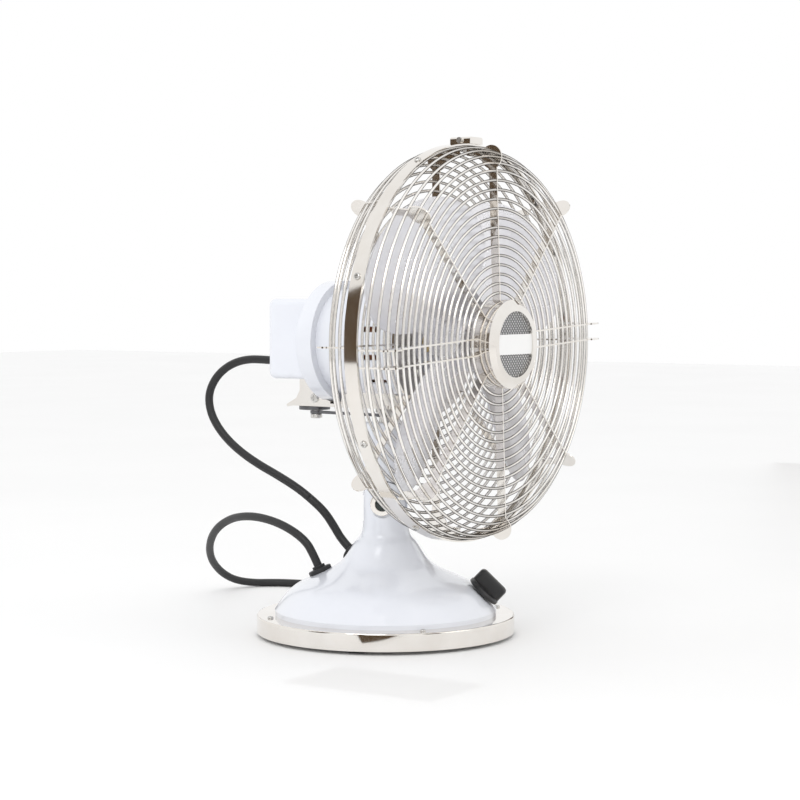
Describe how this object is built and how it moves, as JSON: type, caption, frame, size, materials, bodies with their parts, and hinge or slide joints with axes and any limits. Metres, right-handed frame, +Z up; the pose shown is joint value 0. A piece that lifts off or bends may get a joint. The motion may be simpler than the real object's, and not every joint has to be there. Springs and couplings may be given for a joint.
{
  "type": "desk fan",
  "caption": "Desk fan: wire cage with metal blades on an enamelled motor, swinging and tilting on a bell-shaped base with a speed knob, trailing cord and plug.",
  "frame": {"origin": "on the standing plane, under the axis of the base, neck and swing pivot", "axes": "+Z up; at rest the fan blows towards -Y; the base's front and knob are 26 degrees round from -Y towards +X"},
  "size_m": [0.362, 0.4193, 0.4335],
  "materials": {
    "white_enamel": "gloss",
    "chrome": "polished",
    "wire_chrome": "polished",
    "blade_metal": "polished",
    "motor_grey": "satin",
    "steel": "satin",
    "dark_steel": "satin",
    "black_plastic": "gloss",
    "black_rubber": "matte",
    "brass": "satin",
    "copper_winding": "gloss",
    "laminated_iron": "satin",
    "phenolic": "matte",
    "white_bar": "gloss"
  },
  "bodies": {
    "base": {"base_shell": "white_enamel", "base_ring": "chrome", "ring_screws": "steel", "base_plate": "steel", "rubber_feet": "black_rubber", "plate_screws": "steel", "speed_switch": "phenolic", "power_grommet": "black_rubber", "motor_grommet": "black_rubber", "capacitor": "phenolic", "terminal_block": "phenolic", "tilt_bolt": "chrome", "tilt_nut": "steel", "motor_cord": "black_rubber", "power_cord": "black_rubber", "power_cord_coil": "black_rubber", "power_cord_tail": "black_rubber", "plug_body": "black_plastic", "plug_pins": "brass"},
    "tilt_neck_body": {"tilt_neck": "white_enamel", "spindle": "steel"},
    "head": {"swing_bracket": "chrome", "spindle_bushing": "brass", "bracket_screws": "steel", "motor_drum": "white_enamel", "motor_front_bell": "white_enamel", "stator_core": "laminated_iron", "stator_windings": "copper_winding", "bearings": "brass", "gearbox_cover": "white_enamel", "drum_screws": "steel", "clamp_band": "chrome", "front_grille_rings": "wire_chrome", "rear_grille_rings": "wire_chrome", "front_grille_strips": "chrome", "front_strip_pairs": "chrome", "rear_grille_ribs": "chrome", "rear_mount_plate": "chrome", "mount_spacers": "steel", "mount_screws": "steel", "band_screws": "steel", "band_latch": "chrome", "latch_bolt": "steel", "badge_ring": "chrome", "badge_mesh": "motor_grey", "badge_bar": "white_bar", "motor_cord_relief": "black_rubber"},
    "crank": {"crank_disc": "dark_steel", "crank_pin": "steel", "reduction_wheel": "phenolic", "crank_nut": "steel"},
    "link": {"link_rod": "dark_steel", "anchor_screw": "steel"},
    "rotor": {"motor_shaft": "steel", "rotor_core": "laminated_iron", "worm": "dark_steel", "fan_blades": "blade_metal", "fan_hub": "blade_metal", "fan_nut": "blade_metal"},
    "knob": {"speed_knob": "black_plastic"}
  },
  "joints": [
    {"name": "head_tilt", "type": "hinge", "parent": "base", "child": "tilt_neck_body", "pos_m": [0, 0, 0.1166], "axis": [0.8988, 0.4384, 0], "range_deg": [-25, 15], "deforming": ["motor_cord"]},
    {"name": "head_swing", "type": "hinge", "parent": "tilt_neck_body", "child": "head", "pos_m": [0, 0, 0.2], "axis": [0, 0, 1], "range_deg": [-12, 64], "deforming": ["motor_cord"]},
    {"name": "crank_turn", "type": "hinge", "parent": "head", "child": "crank", "pos_m": [0, 0.078, 0.2], "axis": [0, 0, 1], "range_deg": [-152, 29]},
    {"name": "link_turn", "type": "hinge", "parent": "crank", "child": "link", "pos_m": [-0.00735, 0.07055, 0.195], "axis": [0, 0, 1], "range_deg": [-28, 148]},
    {"name": "fan_spin", "type": "hinge", "parent": "head", "child": "rotor", "pos_m": [0, 0, 0.258], "axis": [0, -1, 0], "continuous": true},
    {"name": "speed_turn", "type": "hinge", "parent": "base", "child": "knob", "pos_m": [0.0377, -0.0773, 0.03784], "axis": [0.3044, -0.6241, 0.7196], "range_deg": [-135, 0]}
  ],
  "couplings": [
    {"joint": "crank_turn", "follows": "head_swing", "ratio": -2.37},
    {"joint": "link_turn", "follows": "head_swing", "ratio": 2.3}
  ]
}
